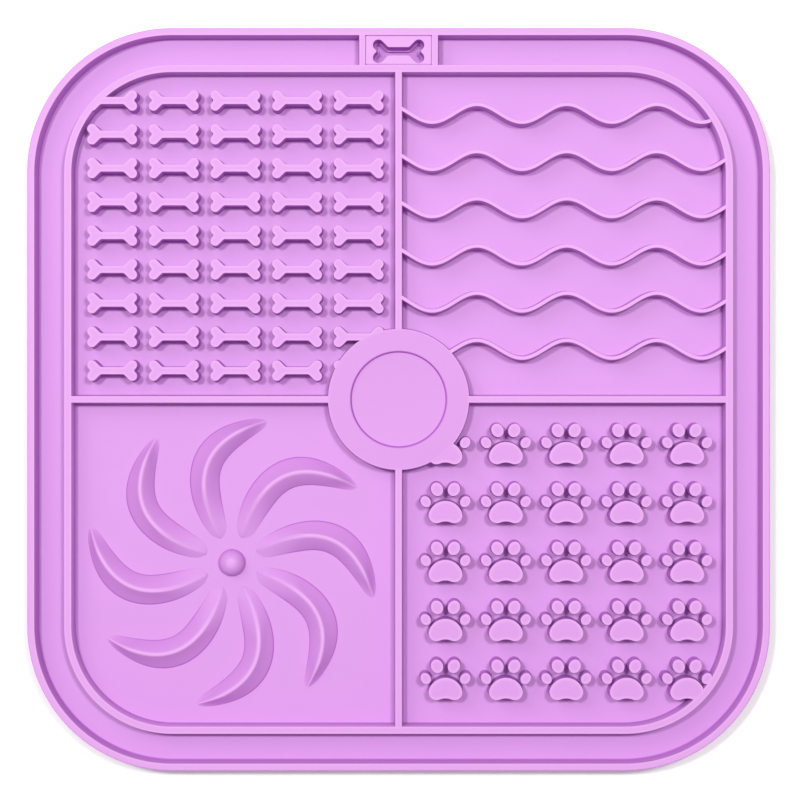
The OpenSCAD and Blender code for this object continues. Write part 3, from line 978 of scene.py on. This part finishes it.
    def vane_tones(self) -> Array:
        """Blends a vane's tones: painted highlight along the crest, painted shade along the edge, plain where
        the root rises.

        Returns:
            The tones, as (shares of the length, points of the section).
        """
        places = (*self.flank_shares, self.edge_line)
        half = np.interp(self.section()[0], places, (*self.flank_tones, self.deep_tone))
        across = np.concatenate((half[::-1], half[1:], [self.deep_tone] * 2))
        along = np.interp(self.shares(), self.tone_places, self.tone_strengths)
        return along[:, None] * across

    def vane(self) -> Array:
        """Carries the section along one vane.

        At share t of its length a point of the section lies at crest + way * (foot - crest), scaled by
        the vortex's radius. Both ends close round, their half width falling as the root of 1 - s^2. The
        height follows the width, so that the flanks keep their slope, apart from an easing at the root
        by 3s^2 - 2s^3 and at the tip by 1 - s^2. The whole edge lies just under the sheet's face.

        Returns:
            Loops of points about the origin.
        """
        t = self.shares()
        radius = (self.plan.inner_in - self.plan.cross_half) / 2 - self.gap
        shapes = (self.crest, self.back, self.front)
        crest, back, front = (self.curve(points, t) * radius for points in shapes)
        near = np.clip(t / self.root, 0.0, 1.0)
        fall = np.clip((t - 1.0 + self.fade) / self.fade, 0.0, 1.0)
        end = np.clip((t - 1.0 + self.tip) / self.tip, 0.0, 1.0) + np.clip(1.0 - t / self.root_end, 0.0, 1.0)
        close = np.maximum(np.sqrt(1.0 - end**2), self.least_close)
        width = np.linalg.norm(back - front, axis=1) * close
        rise = self.root_low + (1.0 - self.root_low) * near**2 * (3.0 - 2.0 * near)
        height = self.height * rise * (1.0 - fall**2) * width / width.max()
        way, up = self.section()
        halves = []
        for foot in (back, front):
            flat = crest[:, None] + way[None, :, None] * close[:, None, None] * (foot - crest)[:, None]
            z = self.plan.floor_z - self.bedded + height[:, None] * up[None]
            halves.append(np.concatenate((flat, z[..., None]), axis=2))
        left, right = halves
        below = np.concatenate((right[:, -1:], left[:, -1:]), axis=1)
        below[..., 2] = self.plan.floor_z - self.sunk
        return np.concatenate((left[:, ::-1], right[:, 1:], below), axis=1)


@dataclass
class PawField(Moulding):
    """Five rows of five raised paws, each a pad and four toes."""

    # Painted shade at the paws' feet and faces, and a painted highlight on their brows and tops
    edge: EdgeForm = EdgeForm(draft=0.16 * MM, brow=0.14 * MM, crown=0.85 * MM, foot_tone=-0.8,
                              face_tone=-0.6, top_tone=0.15)
    pad_r: float = 4.7 * MM
    lobe_r: float = 2.16 * MM
    lobe_x: float = 2.42 * MM
    notch: float = 0.5 * MM
    brow_steps: int = 28
    lobe_steps: int = 16
    notch_steps: int = 8
    # Width and length of the toes, and their gaps from the pad's wide arc
    inner_toe: tuple[float, float] = (3.3 * MM, 3.8 * MM)
    outer_toe: tuple[float, float] = (2.7 * MM, 3.2 * MM)
    inner_gap: float = 1.5 * MM
    outer_gap: float = 0.65 * MM
    # Places of the toes round the pad, and how far their tops lean outwards, in degrees
    inner_angle: float = 16.3
    outer_angle: float = 50.0
    inner_lean: float = 24.0
    outer_lean: float = 35.0
    rows: int = 5
    columns: int = 5
    # Gaps from the outer paws to the divider and the wall beside them, the divider above and the wall below
    cross_gap: float = 5.05 * MM
    side_gap: float = 3.7 * MM
    top_gap: float = 5.55 * MM
    foot_gap: float = 7.05 * MM

    @property
    def lobe_y(self) -> float:
        """Height of the lobes' centres, at which they touch the pad's wide arc from inside."""
        return float(np.sqrt((self.pad_r - self.lobe_r) ** 2 - self.lobe_x**2))

    @property
    def inner_place(self) -> float:
        """Distance of an inner toe from the pad's centre."""
        return self.pad_r + self.inner_gap + self.inner_toe[1] / 2

    @property
    def outer_place(self) -> float:
        """Distance of an outer toe from the pad's centre."""
        return self.pad_r + self.outer_gap + self.outer_toe[1] / 2

    def pad(self) -> Outline:
        """Joins a wide arc, two lobes and a notch that touches both lobes from outside.

        Returns:
            The outline about the wide arc's centre.
        """
        foot = self.lobe_r - self.lobe_y
        lift = self.lobe_y + foot - self.notch
        notch_r = (self.lobe_x**2 + lift**2 - self.lobe_r**2) / (2.0 * (self.lobe_r - lift))
        notch_y = self.notch - foot - notch_r
        brow = np.degrees(np.arctan2(self.lobe_y, self.lobe_x))
        heel = np.degrees(np.arctan2(self.lobe_y - notch_y, self.lobe_x))
        return Outline.from_arcs([
            Arc(0.0, 0.0, self.pad_r, brow, 180.0 - brow, self.brow_steps),
            Arc(-self.lobe_x, self.lobe_y, self.lobe_r, 180.0 - brow, 360.0 - heel, self.lobe_steps),
            Arc(0.0, notch_y, notch_r, 180.0 - heel, heel, self.notch_steps, hollow=True),
            Arc(self.lobe_x, self.lobe_y, self.lobe_r, heel - 180.0, brow, self.lobe_steps),
        ])

    def toes(self) -> list[Outline]:
        """Places two inner and two outer toes, whose tops lean outwards.

        Returns:
            Their outlines about the pad's centre.
        """
        placed = []
        for side in (-1.0, 1.0):
            for size, angle, place, lean in (
                (self.outer_toe, self.outer_angle, self.outer_place, self.outer_lean),
                (self.inner_toe, self.inner_angle, self.inner_place, self.inner_lean),
            ):
                turn = np.radians(angle)
                x, y = side * place * np.sin(turn), place * np.cos(turn)
                placed.append(Outline.oval(*size).placed(x, y, -side * lean))
        return placed

    def build(self) -> None:
        """Builds one piece for each row, from the divider down to the wall."""
        plan = self.plan
        half = self.outer_place * np.sin(np.radians(self.outer_angle)) + self.outer_toe[0] / 2
        reach = self.inner_place * np.cos(np.radians(self.inner_angle)) + self.inner_toe[1] / 2
        first = plan.cross_half + self.cross_gap + half
        last = plan.inner_in - self.side_gap - half
        top = -(plan.cross_half + self.top_gap + reach)
        foot = -(plan.inner_in - self.foot_gap - (self.lobe_r - self.lobe_y))
        profile = self.edge.side(plan.wall_h - Hide.RELIEF.value)
        tones = self.edge.tones()[:, None]
        forms = [self.pad(), *self.toes()]
        places = np.linspace(first, last, self.columns)
        for row, y in enumerate(np.linspace(top, foot, self.rows), start=1):
            loops = [form.placed(x, y).raised(profile, plan.floor_z) for x in places for form in forms]
            kept = [plan.kept_in(loop) for loop in loops if not plan.swallowed(loop)]
            self.shop.add(f"paw_row_{row}", [Surface.from_loops(loop, tones) for loop in kept])


@dataclass
class PocketBlock(Moulding):
    """Block in the channel with a bone-shaped pocket, between two ribs."""

    # Painted highlight on the ribs' brows and tops, painted shade at their feet
    edge: EdgeForm = EdgeForm(top_tone=0.4)
    width: float = 17.9 * MM
    rib_t: float = 1.65 * MM
    # How far the block's top lies below the walls'
    drop: float = 0.25 * MM
    bevel: float = 0.4 * MM
    corner: float = 0.45 * MM
    form: BoneForm = BoneForm(length=13.7 * MM, height=6.2 * MM, shaft_w=2.1 * MM, lobe_r=1.4 * MM,
                              crook_r=0.7 * MM, notch_r=0.45 * MM)
    # Pocket: how far it lies off the block's middle towards the cells, the radius of its mouth, the draft of
    # its wall, the ledge at the wall's foot with its chamfers, and the floor's height over the sheet
    shift: float = 0.3 * MM
    mouth: float = 0.15 * MM
    wall_draft: float = 0.18 * MM
    ledge_w: float = 0.5 * MM
    ledge_h: float = 1.5 * MM
    chamfer: float = 0.08 * MM
    floor_lift: float = 0.1 * MM
    steps: int = 5
    # Tones: painted highlight on the block's top and the ledge's edge, painted shade on its outer side, down
    # the pocket's wall and a little on the pocket's floor
    top_tone: float = 0.7
    side_tone: float = -0.6
    wall_tone: float = -1.0
    ledge_tone: float = 0.6
    floor_tone: float = -0.5

    def build(self) -> None:
        """Builds the block and the two ribs beside it."""
        self.block()
        half = self.width / 2
        self.rib("tab_rib_left", -half - self.rib_t, -half)
        self.rib("tab_rib_right", half, half + self.rib_t)

    def rib(self, node: str, x_low: float, x_high: float) -> None:
        """Builds a rib across the channel, with its ends hidden in the rim and the inner wall.

        Args:
            node: The solid that the rib stands for.
            x_low: Place of its left face.
            x_high: Place of its right face.
        """
        plan = self.plan
        low = plan.inner_out - plan.wall_t / 2
        high = plan.half - plan.wall_t / 2
        bar = Outline.rectangle((x_low, x_high), (low, high), self.edge.inset)
        loops = bar.raised(self.edge.side(plan.wall_h - Hide.DIVIDER.value), plan.floor_z)
        self.shop.add(node, [Surface.from_loops(loops, self.edge.tones()[:, None])])

    def block(self) -> None:
        """Joins the block's bevelled outside to the pocket by a flat face with a bone-shaped hole.

        The face and the first two rows of the pocket's mouth have a painted highlight, the pocket's wall is
        painted deep with shade down to the ledge, whose inner edge has a painted highlight again, and the
        floor a little painted shade.
        """
        plan = self.plan
        top = plan.top_z - self.drop
        low, high = plan.inner_out, plan.half - plan.wall_t
        box = Outline.rectangle((-self.width / 2, self.width / 2), (low, high), self.corner)
        turn = np.linspace(0.0, np.pi / 2, self.steps + 1)
        brow = np.column_stack((-self.bevel * (1 - np.cos(turn)), -self.bevel * (1 - np.sin(turn))))
        outside = np.vstack(([[0.0, plan.floor_z - top]], brow, [[-self.bevel - self.edge.hold, 0.0]]))
        outer = box.raised(outside, top)
        outer_tones = np.array([0.0, self.side_tone] + [self.top_tone] * (len(outside) - 2))

        depth = top - plan.floor_z
        mouth = np.column_stack((self.mouth * (1 - np.sin(turn)), -self.mouth * (1 - np.cos(turn))))
        cut = self.chamfer
        wall = -self.wall_draft
        foot = wall - self.ledge_w
        ledge_z = self.ledge_h - depth
        inside = np.vstack((
            [[self.mouth + self.edge.hold, 0.0]],
            mouth,
            [[wall, ledge_z + cut], [wall - cut, ledge_z]],
            [[foot + cut, ledge_z], [foot, ledge_z - cut]],
            [[foot - cut / 2, self.floor_lift - depth]],
        ))
        pocket = self.form.outline().placed(0.0, (low + high) / 2 - self.shift).raised(inside, top)
        below = [self.ledge_tone, self.wall_tone, self.floor_tone]
        pocket_tones = np.array([self.top_tone] * 3 + [self.wall_tone] * len(mouth) + below)
        shell = Surface.from_loops(outer, outer_tones[:, None], capped=False)
        hole = Surface.from_loops(pocket, pocket_tones[:, None], capped=False)
        self.shop.finish_piece("tab_block", self.bored(shell, hole, outer.shape[1], pocket.shape[1]))

    def bored(self, shell: Surface, hole: Surface, places: int, bored: int) -> bpy.types.Mesh:
        """Makes the block's mesh.

        Args:
            shell: The block's outside, from bottom to top.
            hole: The pocket, from its mouth down.
            places: Points in one loop of the outside.
            bored: Points in one loop of the pocket.

        Returns:
            The mesh, closed below, at the pocket's floor and across the top.
        """
        inward = Surface(hole.points, hole.quads[:, ::-1], [], hole.tones)
        mesh = self.shop.mesh("tab_block", Surface.joined([shell, inward]))
        work = bmesh.new()
        work.from_mesh(mesh)
        work.verts.ensure_lookup_table()
        first_hole = len(shell.points)
        base = [work.verts[i] for i in range(places)]
        lip = list(range(first_hole - places, first_hole))
        mouth = list(range(first_hole, first_hole + bored))
        last = len(work.verts)
        pit = [work.verts[i] for i in range(last - bored, last)]
        work.faces.new(base[::-1])
        work.faces.new(pit)
        edges = [work.edges.get((work.verts[a], work.verts[b]))
                 for loop in (lip, mouth) for a, b in zip(loop, loop[1:] + loop[:1])]
        bmesh.ops.triangle_fill(work, edges=edges, use_beauty=True, normal=(0.0, 0.0, 1.0))
        bmesh.ops.recalc_face_normals(work, faces=work.faces[:])
        work.to_mesh(mesh)
        work.free()
        return mesh


@dataclass
class SuctionCups(Moulding):
    """Six rows of six suction cups moulded under the sheet."""

    # Radii of the cup and of its neck at the sheet, width and height of the lip, and the hollow's depth
    cup_r: float = 12.0 * MM
    neck_r: float = 9.0 * MM
    lip_w: float = 0.6 * MM
    lip_h: float = 0.5 * MM
    hollow: float = 1.4 * MM
    skirt_power: float = 1.6
    # Gap from the mat's edge to the outer cups, and how many there are in a row and in a column
    edge_gap: float = 10.5 * MM
    count: int = 6
    # How far a cup reaches into the sheet, and the small flat faces that close it at its axis
    lap: float = 0.4 * MM
    pole: float = 0.2 * MM
    pole_angle: float = 0.004
    hollow_rows: int = 16
    lip_rows: int = 9
    skirt_rows: int = 11
    steps: int = 64

    def profile(self) -> Array:
        """Works out half a section: a ball-shaped hollow, a round lip and a skirt that draws in to the neck.

        The ball's radius is (flat^2 + hollow^2) / (2 hollow), so that the hollow comes down to the rest
        plane at the lip. At share s of its height the skirt's radius is neck + (lip - neck) (1 - s)^power.

        Returns:
            Rows of (radius, z).
        """
        flat = self.cup_r - self.lip_w
        ball = (flat**2 + self.hollow**2) / (2.0 * self.hollow)
        angle = np.linspace(self.pole_angle, np.arcsin(flat / ball), self.hollow_rows)
        under = np.column_stack((ball * np.sin(angle), self.hollow - ball * (1.0 - np.cos(angle))))
        turn = np.linspace(-np.pi / 2, np.pi / 2, self.lip_rows)
        round_r = self.lip_h / 2
        lip = np.column_stack((self.cup_r - round_r * (1.0 - np.cos(turn)), round_r * (1.0 + np.sin(turn))))
        share = np.linspace(0.0, 1.0, self.skirt_rows + 1)[1:]
        drop = self.plan.sheet_z - self.lip_h
        reach = (self.cup_r - round_r - self.neck_r) * (1.0 - share) ** self.skirt_power + self.neck_r
        skirt = np.column_stack((reach, self.lip_h + drop * share))
        inside = self.plan.sheet_z + self.lap
        hidden = np.array([[self.neck_r, inside], [self.pole, inside]])
        return np.vstack((under, lip, skirt, hidden))

    def build(self) -> None:
        """Builds one piece for each row, from the side with the pocket."""
        profile = self.profile()
        reach = self.plan.half - self.edge_gap - self.cup_r
        for row, y in enumerate(np.linspace(reach, -reach, self.count), start=1):
            cups = [revolved(profile, x, y, self.steps) for x in np.linspace(-reach, reach, self.count)]
            self.shop.add(f"suction_cups_row_{row}", cups)


@dataclass(frozen=True)
class Softbox:
    """Square soft lamp that points at the mat."""

    name: str
    place: tuple[float, float, float]
    size: float
    power: float

    def hang(self) -> None:
        """Adds the lamp to the scene."""
        data = bpy.data.lights.new(self.name, "AREA")
        data.energy = self.power
        data.size = self.size
        lamp = bpy.data.objects.new(self.name, data)
        lamp.location = self.place
        lamp.rotation_euler = (-Vector(self.place)).to_track_quat("-Z", "Y").to_euler()
        bpy.context.scene.collection.objects.link(lamp)


@dataclass
class Studio:
    """Pale floor, soft lamps from above and a camera that looks straight down."""

    plan: MatPlan
    # The camera's height over the walls' top, the width that it sees there and the point below it
    distance: float = 690.0 * MM
    view_w: float = 215.26 * MM
    aim: tuple[float, float] = (0.377 * MM, -0.161 * MM)
    sensor_w: float = 36.0
    far_clip: float = 20.0
    lamps: tuple[Softbox, ...] = (
        Softbox("west_softbox", place=(-0.33, 0.23, 1.35), size=0.11, power=7.5),
        Softbox("east_softbox", place=(0.27, 0.23, 1.35), size=0.16, power=7.7),
        Softbox("low_softbox", place=(-0.77, 0.64, 1.0), size=0.80, power=4.6),
    )
    floor_reach: float = 3.0
    floor_roughness: float = 0.9
    floor_colour: tuple[float, float, float] = (0.96, 0.96, 0.94)
    floor_glow: tuple[float, float, float] = (0.12, 0.18, 0.115)
    fill_light: tuple[float, float, float] = (0.33, 0.22, 0.345)
    seen_sky: tuple[float, float, float] = (1.0, 1.0, 0.99)

    def build(self) -> None:
        """Adds the camera, the floor, the lamps and the world."""
        self.camera()
        self.floor()
        for lamp in self.lamps:
            lamp.hang()
        self.world()
        bpy.context.scene.view_settings.view_transform = "Standard"

    @staticmethod
    def seen(tree: bpy.types.NodeTree) -> bpy.types.NodeSocket:
        """Finds out which rays the camera sees, straight or by a gloss or glass.

        Args:
            tree: The node tree that needs to know.

        Returns:
            An output that is 1 for such a ray and 0 for any other.
        """
        rays = tree.nodes.new("ShaderNodeLightPath")
        share = rays.outputs["Is Camera Ray"]
        for kind in ("Is Glossy Ray", "Is Transmission Ray"):
            either = tree.nodes.new("ShaderNodeMath")
            either.operation = "MAXIMUM"
            tree.links.new(share, either.inputs[0])
            tree.links.new(rays.outputs[kind], either.inputs[1])
            share = either.outputs["Value"]
        return share

    def camera(self) -> None:
        """Places the camera over the mat, with the lens that shows the right width at the walls' top."""
        data = bpy.data.cameras.new("overhead")
        data.sensor_width = self.sensor_w
        data.lens = self.sensor_w * self.distance / self.view_w
        data.clip_end = self.far_clip
        camera = bpy.data.objects.new("overhead", data)
        camera.location = (*self.aim, self.plan.top_z + self.distance)
        bpy.context.scene.collection.objects.link(camera)
        bpy.context.scene.camera = camera

    def floor(self) -> None:
        """Plain pale floor that shows the mat's shadow and is white to the camera."""
        r = self.floor_reach
        mesh = bpy.data.meshes.new("floor")
        mesh.from_pydata([(-r, -r, 0.0), (r, -r, 0.0), (r, r, 0.0), (-r, r, 0.0)], [], [(0, 1, 2, 3)])
        made = bpy.data.materials.new("pale_floor")
        made.use_nodes = True
        nodes, links = made.node_tree.nodes, made.node_tree.links
        shader = nodes["Principled BSDF"]
        shader.inputs["Base Color"].default_value = (*self.floor_colour, 1.0)
        shader.inputs["Roughness"].default_value = self.floor_roughness
        shader.inputs["Specular IOR Level"].default_value = 0.0
        shader.inputs["Emission Color"].default_value = (*self.floor_glow, 1.0)
        links.new(self.seen(made.node_tree), shader.inputs["Emission Strength"])
        mesh.materials.append(made)
        floor = bpy.data.objects.new("floor", mesh)
        bpy.context.scene.collection.objects.link(floor)

    def world(self) -> None:
        """Even surroundings: white to the camera, dim and rosy as a light that fills the shadows."""
        world = bpy.data.worlds.new("studio")
        world.use_nodes = True
        nodes, links = world.node_tree.nodes, world.node_tree.links
        light = nodes.new("ShaderNodeMix")
        light.data_type = "RGBA"
        light.inputs[MIX_A].default_value = (*self.fill_light, 1.0)
        light.inputs[MIX_B].default_value = (*self.seen_sky, 1.0)
        links.new(self.seen(world.node_tree), light.inputs["Factor"])
        links.new(light.outputs[MIX_RESULT], nodes["Background"].inputs["Color"])
        bpy.context.scene.world = world


def main() -> None:
    """Builds the mat's sub-assemblies and the studio, in order."""
    logging.basicConfig(level=logging.INFO, format="%(message)s")
    plan = MatPlan.from_frame()
    shop = Workshop(SiliconeFinish().material())
    Studio(plan).build()
    for part in (Walls, CentreDisc, PocketBlock, BoneField, WaveField, Vortex, PawField, SuctionCups):
        part(plan, shop).build()


if __name__ == "__main__":
    main()
